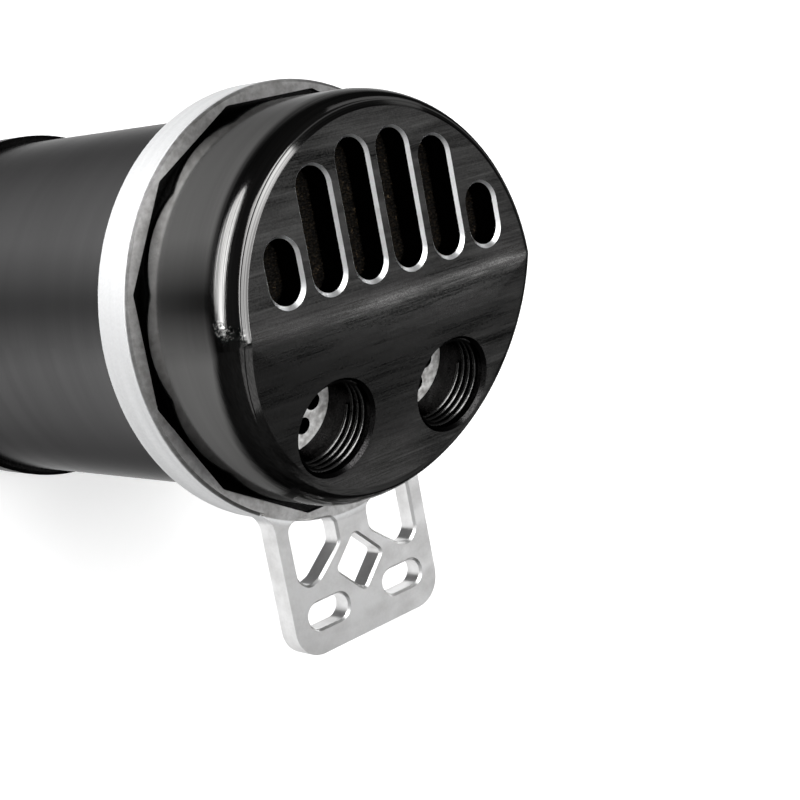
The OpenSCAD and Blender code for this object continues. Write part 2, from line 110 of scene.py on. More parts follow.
camera_data = bpy.data.cameras.new("camera")
camera_data.sensor_width = SENSOR_MM
camera_data.lens = LENS_MM
camera_data.shift_x, camera_data.shift_y = FRAME_SHIFT
camera = bpy.data.objects.new("camera", camera_data)
camera.matrix_world = aimed(CAMERA_AT, CAMERA_AIM, CAMERA_ROLL)
bpy.context.collection.objects.link(camera)
bpy.context.scene.camera = camera
print("camera is", round((CAMERA_AT - CAMERA_AIM).length, 3), "m from its aim")

# %% [markdown]
# ## Node helpers
# A material is a small graph. One helper adds a node and joins or fills its sockets in the same call,
# and one starts a shader group with named inputs and outputs, so each finish below reads as a recipe.

# %% Helpers for node trees
def add(tree, kind, inputs=None, **settings):
    """Adds a node with its settings; an input is given a value, or joined to a socket."""
    made = tree.nodes.new(kind)
    for key, value in settings.items():
        setattr(made, key, value)
    for key, value in (inputs or {}).items():
        if isinstance(value, bpy.types.NodeSocket):
            tree.links.new(value, made.inputs[key])
        else:
            made.inputs[key].default_value = value
    return made


def maths(tree, operation, *values):
    """A Math node's result."""
    return add(tree, "ShaderNodeMath", dict(enumerate(values)), operation=operation).outputs[0]


def spread(tree, value, low, high, to_low=0.0, to_high=1.0):
    """A value mapped from one range to another, without going past its ends."""
    inputs = {"Value": value, "From Min": low, "From Max": high, "To Min": to_low, "To Max": to_high}
    return add(tree, "ShaderNodeMapRange", inputs).outputs["Result"]


def new_group(name, inputs, outputs):
    """A shader group with value or vector inputs and value outputs, and its two end nodes."""
    group = bpy.data.node_groups.new(name, "ShaderNodeTree")
    for label, default in inputs.items():
        kind = "NodeSocketVector" if default is None else "NodeSocketFloat"
        socket = group.interface.new_socket(label, in_out="INPUT", socket_type=kind)
        if default is not None:
            socket.default_value = default
    for label in outputs:
        group.interface.new_socket(label, in_out="OUTPUT", socket_type="NodeSocketFloat")
    return group, group.nodes.new("NodeGroupInput").outputs, group.nodes.new("NodeGroupOutput").inputs


def use_group(tree, group, **inputs):
    """A group placed in a material, with its own values."""
    named = {key.replace("_", " "): value for key, value in inputs.items()}
    return add(tree, "ShaderNodeGroup", named, node_tree=group).outputs


def radius_from_axis(tree, part):
    """The distance from the can's axis, from the separate X and Y of a place."""
    square = maths(tree, "ADD", maths(tree, "POWER", part["X"], 2.0), maths(tree, "POWER", part["Y"], 2.0))
    return maths(tree, "POWER", square, 0.5)


# %% [markdown]
# ## Tool marks
# Turned faces carry circles about the can's axis, because the tool stands still while the work spins.
# Milled faces carry straight streaks along the cutter's path. Both are noise that is stretched along the
# mark: round the axis for the first, along X for the second.

# %% Shader groups for tool marks
def end_marks(group, out, across, detail, roughness, slowed):
    """Fine marks from stretched coordinates, and broad bands from the same ones slowed down."""
    fine = add(group, "ShaderNodeTexNoise", {
        "Vector": across, "Scale": 1.0, "Detail": detail, "Roughness": roughness})
    slow = add(group, "ShaderNodeVectorMath", {0: across, 1: slowed}, operation="MULTIPLY").outputs[0]
    broad = add(group, "ShaderNodeTexNoise", {"Vector": slow, "Scale": 1.0, "Detail": 2.0})
    group.links.new(spread(group, fine.outputs[0], 0.3, 0.7), out["Marks"])
    group.links.new(spread(group, broad.outputs[0], 0.35, 0.65), out["Bands"])


def make_turned_marks():
    group, given, out = new_group(
        "turned_marks", {"Vector": None, "Lines per mm": 5.0, "Unevenness": 0.5}, ["Marks", "Bands"])
    part = add(group, "ShaderNodeSeparateXYZ", {0: given["Vector"]}).outputs
    radius = radius_from_axis(group, part)
    angle = maths(group, "ARCTAN2", part["Y"], part["X"])
    wander = maths(group, "MULTIPLY", angle, given["Unevenness"])
    lines = maths(group, "MULTIPLY", given["Lines per mm"], MM_IN_M)
    across = add(group, "ShaderNodeCombineXYZ", {
        "X": maths(group, "MULTIPLY", radius, lines),
        "Y": maths(group, "MULTIPLY", part["Z"], lines),
        "Z": wander}).outputs[0]
    end_marks(group, out, across, 3.0, 0.6, (0.06, 0.06, 0.8))
    return group


def make_milled_marks():
    group, given, out = new_group(
        "milled_marks", {"Vector": None, "Lines per mm": 6.0, "Streak length": 25.0}, ["Marks", "Bands"])
    part = add(group, "ShaderNodeSeparateXYZ", {0: given["Vector"]}).outputs
    lines = maths(group, "MULTIPLY", given["Lines per mm"], MM_IN_M)
    along = maths(group, "DIVIDE", MM_IN_M, given["Streak length"])
    across = add(group, "ShaderNodeCombineXYZ", {
        "X": maths(group, "MULTIPLY", part["X"], along),
        "Y": maths(group, "MULTIPLY", part["Y"], lines),
        "Z": maths(group, "MULTIPLY", part["Z"], lines)}).outputs[0]
    end_marks(group, out, across, 4.0, 0.65, (0.5, 0.07, 0.07))
    return group


def make_grain():
    group, given, out = new_group("grain", {"Vector": None, "Size mm": 0.4}, ["Grain", "Specks"])
    scale = maths(group, "DIVIDE", MM_IN_M, given["Size mm"])
    soft = add(group, "ShaderNodeTexNoise", {"Vector": given["Vector"], "Scale": scale, "Detail": 3.0})
    dots = add(group, "ShaderNodeTexVoronoi", {"Vector": given["Vector"], "Scale": scale})
    group.links.new(spread(group, soft.outputs[0], 0.3, 0.7), out["Grain"])
    group.links.new(spread(group, dots.outputs["Distance"], 0.28, 0.1), out["Specks"])
    return group


TURNED = make_turned_marks()
MILLED = make_milled_marks()
GRAIN = make_grain()
print("shader groups:", [g.name for g in (TURNED, MILLED, GRAIN)])

# %% [markdown]
# ## Materials
# Black anodising is a dyed oxide skin on aluminium: very dark, with a metal's sheen and the tool marks
# of the metal below. The bracket and the slot bevels are bare metal. Every mark is a small height, a
# change of roughness and a change of tone together, as on the real surface.

# %% Material helpers
def start_material(name, metallic, ior=1.5, edge_tint=1.0):
    """A material with its Principled shader and the object's coordinates."""
    material = bpy.data.materials.new(name)
    material.use_nodes = True
    tree = material.node_tree
    tree.nodes.clear()
    shader = add(tree, "ShaderNodeBsdfPrincipled", {
        "Metallic": metallic, "IOR": ior, "Specular Tint": (edge_tint, edge_tint, edge_tint, 1)})
    add(tree, "ShaderNodeOutputMaterial", {"Surface": shader.outputs[0]})
    place = add(tree, "ShaderNodeTexCoord").outputs["Object"]
    return material, tree, shader, place


def blend(tree, share, first, second):
    """A blend of two colours."""
    inputs = {"Factor": share, "A": first, "B": second}
    return add(tree, "ShaderNodeMix", inputs, data_type="RGBA").outputs["Result"]


def tone(tree, share, dark, light):
    """A colour between two fixed ones, by a mask."""
    return blend(tree, share, (*dark, 1), (*light, 1))


def join(tree, shader, colour, roughness, height, depth_mm):
    """Feeds a finish into its shader; the height is turned into a normal by a Bump node."""
    tree.links.new(colour, shader.inputs["Base Color"])
    tree.links.new(roughness, shader.inputs["Roughness"])
    bump = add(tree, "ShaderNodeBump", {"Height": height, "Distance": depth_mm * MM, "Strength": 1.0})
    tree.links.new(bump.outputs[0], shader.inputs["Normal"])


def weigh(tree, first, second, share):
    """A blend of two values."""
    return add(tree, "ShaderNodeMix", {"Factor": share, "A": first, "B": second}).outputs["Result"]


# %% [markdown]
# ## The lid's black finish
# The lid was turned, then its two flat halves were milled in broad passes, and then it was anodised black.
# So the shoulder and rim carry fine circles, the skirt is smoother, and the halves carry streaks, with a
# light line where two passes meet. At the ends of the crease the cutter left short ragged marks on the
# shoulder. The foot of the skirt, next to the neck ring, is darkened with painted shade. Masks made from the
# place on the piece choose between these, so that one material serves a lid that is one piece of metal.

# %% The lid's black finish
SKIRT_H = 32 * MM
FOOT_SHADE_H = 7 * MM
CREASE_END_Y = 1.5 * MM
RUN_OUT_SLANT = 0.8
RAGGED_HEIGHT = 4.5
PASS_WIDTH_MM = 7.5
PASS_BEND = 0.12


def make_passes():
    """Broad cutter passes along X: each has its own tone, and a light line where two of them meet."""
    group, given, out = new_group(
        "cutter_passes", {"Vector": None, "Width mm": PASS_WIDTH_MM}, ["Tone", "Seam"])
    part = add(group, "ShaderNodeSeparateXYZ", {0: given["Vector"]}).outputs
    bend = add(group, "ShaderNodeTexNoise", {
        "Vector": given["Vector"], "Scale": 60.0, "Detail": 1.0}).outputs[0]
    straight = maths(group, "DIVIDE", maths(group, "MULTIPLY", part["Y"], MM_IN_M), given["Width mm"])
    across = maths(group, "ADD", straight, maths(group, "MULTIPLY", bend, PASS_BEND))
    pass_tone = add(group, "ShaderNodeTexWhiteNoise", {
        "W": maths(group, "FLOOR", across)}, noise_dimensions="1D").outputs["Value"]
    from_middle = maths(group, "ABSOLUTE", maths(group, "SUBTRACT", maths(group, "FRACT", across), 0.5))
    broken = add(group, "ShaderNodeTexNoise", {
        "Vector": given["Vector"], "Scale": 140.0, "Detail": 2.0}).outputs[0]
    seam = maths(group, "MULTIPLY", spread(group, from_middle, 0.44, 0.49), spread(group, broken, 0.35, 0.6))
    group.links.new(pass_tone, out["Tone"])
    group.links.new(seam, out["Seam"])
    return group


PASSES = make_passes()


def mask_run_out(tree, part, radius):
    """Where the cutter left marks on the shoulder, at the ends of the crease."""
    slant = maths(tree, "MULTIPLY", maths(tree, "SUBTRACT", radius, FACE_R), RUN_OUT_SLANT)
    beside = maths(tree, "ABSOLUTE", maths(
        tree, "SUBTRACT", part["Y"], maths(tree, "ADD", slant, CREASE_END_Y)))
    on_shoulder = maths(tree, "MULTIPLY", spread(tree, radius, FACE_R + 0.6 * MM, FACE_R + 1.2 * MM),
                        spread(tree, radius, LID_R - 0.1 * MM, LID_R - 0.6 * MM))
    return maths(tree, "MULTIPLY", spread(tree, beside, 2.2 * MM, 1.0 * MM), on_shoulder)


def make_lid_black():
    material, tree, shader, place = start_material("lid_black", 1.0, edge_tint=0.45)
    turned = use_group(tree, TURNED, Vector=place, Lines_per_mm=4.0, Unevenness=0.6)
    milled = use_group(tree, MILLED, Vector=place, Lines_per_mm=3.2, Streak_length=13.0)
    passes = use_group(tree, PASSES, Vector=place, Width_mm=PASS_WIDTH_MM)
    grain = use_group(tree, GRAIN, Vector=place, Size_mm=0.35)
    part = add(tree, "ShaderNodeSeparateXYZ", {0: place}).outputs
    radius = radius_from_axis(tree, part)
    on_edge = spread(tree, radius, FACE_R - 0.1 * MM, FACE_R + 0.1 * MM)
    on_skirt = spread(tree, radius, LID_R - 0.35 * MM, LID_R - 0.02 * MM)
    face = weigh(tree, weigh(tree, milled["Marks"], milled["Bands"], 0.45), grain["Grain"], 0.3)
    face = weigh(tree, face, passes["Tone"], 0.16)
    face = maths(tree, "ADD", spread(tree, face, 0.14, 0.88), maths(tree, "MULTIPLY", passes["Seam"], 0.3))
    side = weigh(tree, weigh(tree, turned["Marks"], turned["Bands"], 0.5), 0.62,
                 maths(tree, "MULTIPLY", on_skirt, 0.85))
    ragged = use_group(tree, MILLED, Vector=place, Lines_per_mm=0.9, Streak_length=4.0)
    torn = mask_run_out(tree, part, radius)
    shade = weigh(tree, weigh(tree, face, side, on_edge), ragged["Marks"], torn)
    # Painted shade: the colour darkens towards the foot of the skirt, where it stands next to the neck ring.
    skirt_foot = LID_TOP - SKIRT_H
    clear_of_foot_shade = spread(tree, part["Z"], skirt_foot, skirt_foot + FOOT_SHADE_H)
    unmarked = spread(tree, weigh(tree, clear_of_foot_shade, grain["Grain"], 0.2), 0.05, 0.75)
    shade = weigh(tree, 0.0, shade, unmarked)
    colour = tone(tree, shade, (0.010, 0.010, 0.010), (0.215, 0.213, 0.210))
    face_rough = spread(tree, shade, 0.0, 1.0, 0.30, 0.17)
    side_rough = weigh(tree, spread(tree, shade, 0.0, 1.0, 0.13, 0.07), 0.14, on_skirt)
    height = weigh(tree, weigh(tree, milled["Marks"], grain["Grain"], 0.4),
                   weigh(tree, turned["Marks"], 0.5, maths(tree, "MULTIPLY", on_skirt, 0.9)), on_edge)
    ridges = maths(tree, "MULTIPLY", spread(tree, ragged["Marks"], 0.4, 0.6), torn)
    height = maths(tree, "ADD", height, maths(tree, "MULTIPLY", ridges, RAGGED_HEIGHT))
    join(tree, shader, colour, weigh(tree, face_rough, side_rough, on_edge), height, 0.004)
    return material


def make_dull_black_and_shade():
    """A much darker, duller black: painted shade in the deep bores and slot walls, and the base cap's
    colour.
    """
    material, tree, shader, place = start_material("dull_black_and_shade", 1.0, edge_tint=0.2)
    grain = use_group(tree, GRAIN, Vector=place, Size_mm=0.3)
    colour = tone(tree, grain["Grain"], (0.005, 0.005, 0.005), (0.034, 0.033, 0.033))
    join(tree, shader, colour, spread(tree, grain["Grain"], 0.0, 1.0, 0.30, 0.18), grain["Grain"], 0.006)
    return material


def make_satin_black():
    material, tree, shader, place = start_material("satin_black", 1.0, edge_tint=0.3)
    turned = use_group(tree, TURNED, Vector=place, Lines_per_mm=3.0, Unevenness=0.8)
    shade = weigh(tree, turned["Marks"], turned["Bands"], 0.6)
    colour = tone(tree, shade, (0.132, 0.131, 0.132), (0.150, 0.149, 0.150))
    join(tree, shader, colour, spread(tree, shade, 0.0, 1.0, 0.245, 0.215), turned["Marks"], 0.0015)
    return material


def make_bare_aluminium():
    material, tree, shader, place = start_material("machined_aluminium", 1.0)
    turned = use_group(tree, TURNED, Vector=place, Lines_per_mm=5.0, Unevenness=1.2)
    grain = use_group(tree, GRAIN, Vector=place, Size_mm=0.7)
    stains = use_group(tree, GRAIN, Vector=place, Size_mm=7.0)
    fine = use_group(tree, GRAIN, Vector=place, Size_mm=1.6)
    radius = radius_from_axis(tree, add(tree, "ShaderNodeSeparateXYZ", {0: place}).outputs)
    past_ring = spread(tree, radius, RING_R + 0.3 * MM, RING_R + 1.5 * MM)
    outside = maths(tree, "MULTIPLY", spread(tree, radius, RING_R - 0.3 * MM, RING_R - 0.05 * MM),
                    maths(tree, "SUBTRACT", 1.0, past_ring))
    brushed = use_group(tree, MILLED, Vector=place, Lines_per_mm=1.2, Streak_length=16.0)
    turned_shade = weigh(tree, turned["Bands"], grain["Grain"], 0.4)
    worn_shade = weigh(tree, weigh(tree, turned_shade, brushed["Bands"], 0.5), stains["Grain"], 0.45)
    top = tone(tree, weigh(tree, worn_shade, fine["Grain"], 0.35), (0.24, 0.23, 0.22), (0.95, 0.95, 0.95))
    foot = tone(tree, spread(tree, worn_shade, 0.15, 0.7), (0.78, 0.775, 0.77), (1.0, 1.0, 1.0))
    unmarked = tone(tree, turned_shade, (0.80, 0.805, 0.81), (0.93, 0.935, 0.94))
    colour = blend(tree, outside, blend(tree, past_ring, top, foot), unmarked)
    flat_rough = weigh(tree, spread(tree, worn_shade, 0.0, 1.0, 0.38, 0.26),
                       spread(tree, worn_shade, 0.0, 1.0, 0.40, 0.28), past_ring)
    rough = weigh(tree, flat_rough, spread(tree, turned_shade, 0.0, 1.0, 0.66, 0.54), outside)
    height = weigh(tree, turned["Marks"], grain["Grain"], 0.4)
    join(tree, shader, colour, rough, height, 0.002)
    return material


def make_bright_cut():
    material, tree, shader, place = start_material("bright_cut", 1.0)
    grain = use_group(tree, GRAIN, Vector=place, Size_mm=0.8)
    colour = tone(tree, grain["Grain"], (0.80, 0.81, 0.82), (0.96, 0.96, 0.96))
    join(tree, shader, colour, spread(tree, grain["Grain"], 0.0, 1.0, 0.40, 0.28), grain["Grain"], 0.0015)
    return material


LID_BLACK = make_lid_black()
DULL_BLACK_AND_SHADE = make_dull_black_and_shade()
SATIN_BLACK = make_satin_black()
BARE_ALUMINIUM = make_bare_aluminium()
BRIGHT_CUT = make_bright_cut()
print("metal finishes made")

# %% [markdown]
# ## Hidden and small finishes
# Inside the lid lie foam, gauze, a knitted pad and a perforated plate, and below them a splash plate. The
# seals are plain rubber, the drain plug is stainless steel with a copper seal. Each needs no more than its
# own tone, roughness and grain, except the foam, which also carries painted shade in its pits and painted
# glints.

# %% Small finishes
FOAM_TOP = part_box("breather_foam")[1].z
FOAM_PORE_DEPTH = 1.1 * MM


def make_plain(name, metallic, dark, light, rough, size_mm, depth_mm):
    material, tree, shader, place = start_material(name, metallic)
    grain = use_group(tree, GRAIN, Vector=place, Size_mm=size_mm)
    colour = tone(tree, grain["Grain"], dark, light)
    join(tree, shader, colour, spread(tree, grain["Grain"], 0.0, 1.0, *rough), grain["Grain"], depth_mm)
    return material


def make_stainless():
    material, tree, shader, place = start_material("stainless", 1.0)
    turned = use_group(tree, TURNED, Vector=place, Lines_per_mm=6.0, Unevenness=0.7)
    shade = weigh(tree, turned["Marks"], turned["Bands"], 0.5)
    colour = tone(tree, shade, (0.45, 0.445, 0.435), (0.66, 0.655, 0.64))
    join(tree, shader, colour, spread(tree, shade, 0.0, 1.0, 0.36, 0.24), turned["Marks"], 0.004)
    return material


def make_foam():
    """Open foam: brown strands, with painted shade down into the cells and painted glints on some strands.
    """
    material, tree, shader, place = start_material("breather_foam", 0.0, ior=1.12)
    grain = use_group(tree, GRAIN, Vector=place, Size_mm=0.5)
    part = add(tree, "ShaderNodeSeparateXYZ", {0: place}).outputs
    # Painted shade: the foam's colour darkens down into its pits.
    lit = spread(tree, part["Z"], FOAM_TOP - FOAM_PORE_DEPTH, FOAM_TOP)
    shade = maths(tree, "MULTIPLY", maths(tree, "POWER", lit, 2.2), spread(tree, grain["Grain"], 0.35, 1.0))
    # Painted glints: bright specks added on the shallow, lit strands.
    painted_glints = use_group(tree, GRAIN, Vector=place, Size_mm=2.6)
    shade = maths(tree, "ADD", maths(tree, "MULTIPLY", shade, 0.35), maths(
        tree, "MULTIPLY", painted_glints["Specks"], maths(tree, "MULTIPLY", shade, 1.6)))
    colour = tone(tree, shade, (0.0008, 0.0007, 0.0006), (0.085, 0.060, 0.034))
    join(tree, shader, colour, spread(tree, grain["Grain"], 0.0, 1.0, 0.75, 0.45), grain["Grain"], 0.03)
    return material


STAINLESS = make_stainless()
FOAM = make_foam()
RUBBER = make_plain("seal_rubber", 0.0, (0.010, 0.010, 0.010), (0.022, 0.022, 0.022), (0.7, 0.5), 0.3, 0.01)
COPPER = make_plain("copper_seal", 1.0, (0.42, 0.22, 0.12), (0.64, 0.38, 0.24), (0.5, 0.35), 0.5, 0.01)
KNIT = make_plain("knitted_wire", 1.0, (0.10, 0.10, 0.10), (0.62, 0.61, 0.60), (0.5, 0.3), 1.1, 0.5)
JET_FLOOR = make_plain("jet_floor", 0.3, (0.30, 0.29, 0.28), (0.95, 0.95, 0.94), (0.50, 0.34), 1.8, 0.01)
print("small finishes made")

# %% [markdown]
# ## Rigid pieces
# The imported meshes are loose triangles, which shade as facets. Each visible piece is a copy with its
# points merged, its round faces smooth and its corners sharp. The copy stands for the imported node.

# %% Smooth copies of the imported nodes
SMOOTH_ANGLE = math.radians(28)
MERGE_NEAR = 0.002 * MM


def merge_points(mesh):
    """Joins the loose triangles and drops the import's own corner normals."""
    work = bmesh.new()
    work.from_mesh(mesh)
    bmesh.ops.remove_doubles(work, verts=work.verts, dist=MERGE_NEAR)
    work.to_mesh(mesh)
    work.free()
    if "custom_normal" in mesh.attributes:
        mesh.attributes.remove(mesh.attributes["custom_normal"])


def smooth_copy(node, material, slot_name):
    """A merged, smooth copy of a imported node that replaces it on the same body."""
    source = frame["nodes"][node]
    mesh = source.data.copy()
    mesh.name = f"{node}_smooth"
    merge_points(mesh)
    mesh.materials.clear()
    mesh.materials.append(material)
    mesh.shade_smooth()
    mesh.set_sharp_from_angle(angle=SMOOTH_ANGLE)
    piece = bpy.data.objects.new(f"{node}_smooth", mesh)
    bpy.context.collection.objects.link(piece)
    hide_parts(node)
    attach(piece, source["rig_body"])
    return piece


FINISHES = {
    "lid": (LID_BLACK, "black_anodised"),
    "breather_foam": (FOAM, "foam"),
    "breather_gauze": (KNIT, "stainless"),
    "mesh_pad": (KNIT, "stainless"),
    "retainer_plate": (STAINLESS, "stainless"),
    "retainer_screws": (STAINLESS, "stainless"),
    "splash_standoffs": (STAINLESS, "stainless"),
    "splash_plate": (STAINLESS, "stainless"),
    "splash_screws": (STAINLESS, "stainless"),
    "bracket": (BARE_ALUMINIUM, "bare_aluminium"),
    "neck_ring": (SATIN_BLACK, "black_anodised"),
    "lid_seal": (RUBBER, "seal_rubber"),
    "neck_seal": (RUBBER, "seal_rubber"),
    "can_tube": (SATIN_BLACK, "black_anodised"),
    "base_cap": (DULL_BLACK_AND_SHADE, "black_anodised"),
    "base_seal": (RUBBER, "seal_rubber"),
    "drain_seal": (COPPER, "copper_seal"),
    "drain_plug": (STAINLESS, "stainless"),
}
pieces = {node: smooth_copy(node, *finish) for node, finish in FINISHES.items()}
for node, piece in pieces.items():
    print(node, len(piece.data.polygons), "faces")

# %% [markdown]
# ## Bright slot bevels
# The bevels round the breather slots are cut after anodising, so they show bare metal. They are the only
# faces near the top that lean at about 45 degrees inside the flat face's radius. One more material on the
# same mesh keeps the lid one piece.

# %% Bright bevels of the slots
SLOT_BEVEL = 0.75 * MM
SLOTS_BEYOND_Y = 3 * MM
SLOTS_WITHIN_R = FACE_R - 1.5 * MM
LEAN_45 = math.cos(math.radians(45))
NEAR_LEAN = 0.15
NEAR_UPRIGHT = 0.3


def finish_slots(piece, material, depth, fits):
    """Gives a material to the slot faces down to a depth whose normal's rise fits, and counts them."""
    mesh = piece.data
    mesh.materials.append(material)
    count = 0
    for face in mesh.polygons:
        at = face.center
        in_slots = at.y > SLOTS_BEYOND_Y and math.hypot(at.x, at.y) < SLOTS_WITHIN_R
        if in_slots and LID_TOP - depth < at.z < LID_TOP and fits(face.normal.z):
            face.material_index = len(mesh.materials) - 1
            count += 1
    return count


bevels = finish_slots(
    pieces["lid"], BRIGHT_CUT, SLOT_BEVEL, lambda rise: abs(rise - LEAN_45) < NEAR_LEAN)
print("bright bevel faces:", bevels)

# %% [markdown]
# ## Painted shade on the slot walls
# Hardly any light comes back out of the deep slots, so their upright walls get the much darker black of the
# port bores, which paints that shade into their colour.

# %% Painted shade on the slot walls
SLOT_WALL_H = 8 * MM
walls = finish_slots(pieces["lid"], DULL_BLACK_AND_SHADE, SLOT_WALL_H, lambda rise: abs(rise) < NEAR_UPRIGHT)
print("slot wall faces:", walls)

# %% [markdown]
# ## Port bores and their floors
# The mouths' chamfers and the bores get the much darker black, painted shade for their depth. The floors,
# drilled with their small holes, show bare metal with some grime on it. A face belongs to a port when it
# lies below the mouth and within the mouth's radius of the port's axis.

# %% Bores and floors of the ports
MOUTH_ABOVE_MOUNT = 8.0 * MM
MOUTH_WIDER = 0.9 * MM
PORT_DEPTH = 15.0 * MM
HOLES_DEPTH = 24.0 * MM
UNDER_MOUTH = 0.05 * MM
NEAR_FLOOR = 0.2 * MM


def port_place(port):
    """A port's axis, the middle of its mouth and the radius of its bore."""
    axis = Vector(port["axis"])
    return axis, Vector(port["pos_m"]) + axis * MOUTH_ABOVE_MOUNT, port["dims"]["r_mm"] * MM


def finish_ports(piece):
    """Gives the faces of each port their material: the bare one on its floor, the darker black with painted
    shade elsewhere.
    """
    mesh = piece.data
    mesh.materials.append(JET_FLOOR)
    index = {"bore": mesh.materials.find(DULL_BLACK_AND_SHADE.name), "floor": mesh.materials.find(JET_FLOOR.name)}
    count = dict.fromkeys(index, 0)
    for face in mesh.polygons:
        for axis, mouth, bore_r in map(port_place, PORTS):
            off = face.center - mouth
            depth = -off.dot(axis)
            beside = (off + axis * depth).length
            if beside > bore_r + MOUTH_WIDER or not UNDER_MOUTH < depth < HOLES_DEPTH:
                continue
            on_floor = abs(depth - PORT_DEPTH) < NEAR_FLOOR and face.normal.dot(axis) > 0.9
            kind = "floor" if on_floor else "bore"
            face.material_index = index[kind]
            count[kind] += 1
    return count


print("port faces:", finish_ports(pieces["lid"]))

# %% [markdown]
# ## Port threads
# The thread is a ridge that climbs the bore in a helix. A spiral curve swept with a small trapezium
# makes it in one step, and a size change needs no new modelling. Each port gets its own copy.

# %% Thread by geometry nodes
THREAD_PITCH = 1.814 * MM
THREAD_DEPTH = 0.95 * MM
THREAD_RUN = 7.0 * MM
THREAD_BELOW_MOUTH = 1.3 * MM
THREAD_INTO_WALL = 0.05 * MM
RIDGE_BASE, RIDGE_CREST = 1.75, 0.45
RIDGE_FADE, RIDGE_TIP = 0.06, 0.05
SPIRAL_STEPS = 72


def start_maker(name, inputs):
    """A geometry tree with named number inputs: the tree, its sockets' identifiers and its inputs."""
    tree = bpy.data.node_groups.new(name, "GeometryNodeTree")
    sockets = {}
    for label, default in inputs.items():
        socket = tree.interface.new_socket(label, in_out="INPUT", socket_type="NodeSocketFloat")
        socket.default_value = default
        sockets[label] = socket.identifier
    tree.interface.new_socket("Geometry", in_out="OUTPUT", socket_type="NodeSocketGeometry")
    return tree, sockets, tree.nodes.new("NodeGroupInput").outputs


def end_maker(tree, shape, material):
    """The end of a geometry tree: instances made real, and the material set."""
    real = add(tree, "GeometryNodeRealizeInstances", {0: shape})
    painted = add(tree, "GeometryNodeSetMaterial", {"Geometry": real.outputs[0], "Material": material})
    add(tree, "NodeGroupOutput", {"Geometry": painted.outputs[0]})


def make_thread_tree(material):
    tree, sockets, given = start_maker(
        "thread_ridge", {"Radius": 0.01, "Pitch": 0.002, "Turns": 6.0, "Depth": 0.001})
    height = maths(tree, "MULTIPLY", given["Pitch"], given["Turns"])
    spiral = add(tree, "GeometryNodeCurveSpiral", {
        "Resolution": SPIRAL_STEPS, "Rotations": given["Turns"], "Start Radius": given["Radius"],
        "End Radius": given["Radius"], "Height": height})
    upright = add(tree, "GeometryNodeSetCurveNormal", {"Curve": spiral.outputs[0]}, mode="Z_UP")
    profile = add(tree, "GeometryNodeCurvePrimitiveQuadrilateral", {
        "Bottom Width": maths(tree, "MULTIPLY", given["Depth"], RIDGE_BASE),
        "Top Width": maths(tree, "MULTIPLY", given["Depth"], RIDGE_CREST),
        "Height": given["Depth"], "Offset": 0.0}, mode="TRAPEZOID")
    lift = add(tree, "ShaderNodeCombineXYZ", {"Y": maths(tree, "DIVIDE", given["Depth"], 2.0)})
    seated = add(tree, "GeometryNodeTransform", {
        "Geometry": profile.outputs[0], "Translation": lift.outputs[0]})
    along = add(tree, "GeometryNodeSplineParameter").outputs["Factor"]
    from_end = maths(tree, "MINIMUM", along, maths(tree, "SUBTRACT", 1.0, along))
    sized = add(tree, "GeometryNodeSetCurveRadius", {
        "Curve": upright.outputs[0], "Radius": spread(tree, from_end, 0.0, RIDGE_FADE, RIDGE_TIP, 1.0)})
    swept = add(tree, "GeometryNodeCurveToMesh", {
        "Curve": sized.outputs[0], "Profile Curve": seated.outputs[0], "Fill Caps": True})
    end_maker(tree, swept.outputs[0], material)
    return tree, sockets


def bake(name, tree, sockets, values, place):
    """Runs a geometry tree once and keeps its result as a plain mesh, moved to its place."""
    holder = bpy.data.objects.new(f"{name}_maker", bpy.data.meshes.new(f"{name}_maker"))
    bpy.context.collection.objects.link(holder)
    modifier = holder.modifiers.new("maker", "NODES")
    modifier.node_group = tree
    for label, value in values.items():
        modifier[sockets[label]] = value
    shown = holder.evaluated_get(bpy.context.evaluated_depsgraph_get())
    mesh = bpy.data.meshes.new_from_object(shown)
    mesh.transform(place)
    holder.modifiers.remove(modifier)
    bpy.data.objects.remove(holder)
    piece = bpy.data.objects.new(name, mesh)
    bpy.context.collection.objects.link(piece)
    return piece


thread_tree, thread_sockets = make_thread_tree(LID_BLACK)
for port in PORTS:
    axis, mouth, bore_r = port_place(port)
    low_end = mouth - axis * (THREAD_BELOW_MOUTH + THREAD_RUN)
    place = Matrix.Translation(low_end) @ axis.to_track_quat("Z", "Y").to_matrix().to_4x4()
    thread = bake(f"{port['name']}_thread", thread_tree, thread_sockets, {
        "Radius": bore_r + THREAD_INTO_WALL, "Pitch": THREAD_PITCH,
        "Turns": THREAD_RUN / THREAD_PITCH, "Depth": THREAD_DEPTH}, place)
    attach(thread, "lid")
    print(thread.name, len(thread.data.polygons), "faces")

# %% [markdown]
# ## Open foam under the slots
# Open-cell foam is a net of thin strands. Seen from above it is a field of small pits, so a fine grid is
# pushed down by a cell texture: the strands stay up, the cells sink. The plain foam body lies just below.

# %% Foam surface by geometry nodes
FOAM_CELL = 0.75 * MM
FOAM_STEP = 0.24 * MM
FOAM_BODY_BELOW = 0.1 * MM
FOAM_SURFACE_BELOW = 0.05 * MM
FOAM_EDGE_GAP = 0.1 * MM
CELL_SHARE, ROUGH_SHARE = 0.75, 0.25


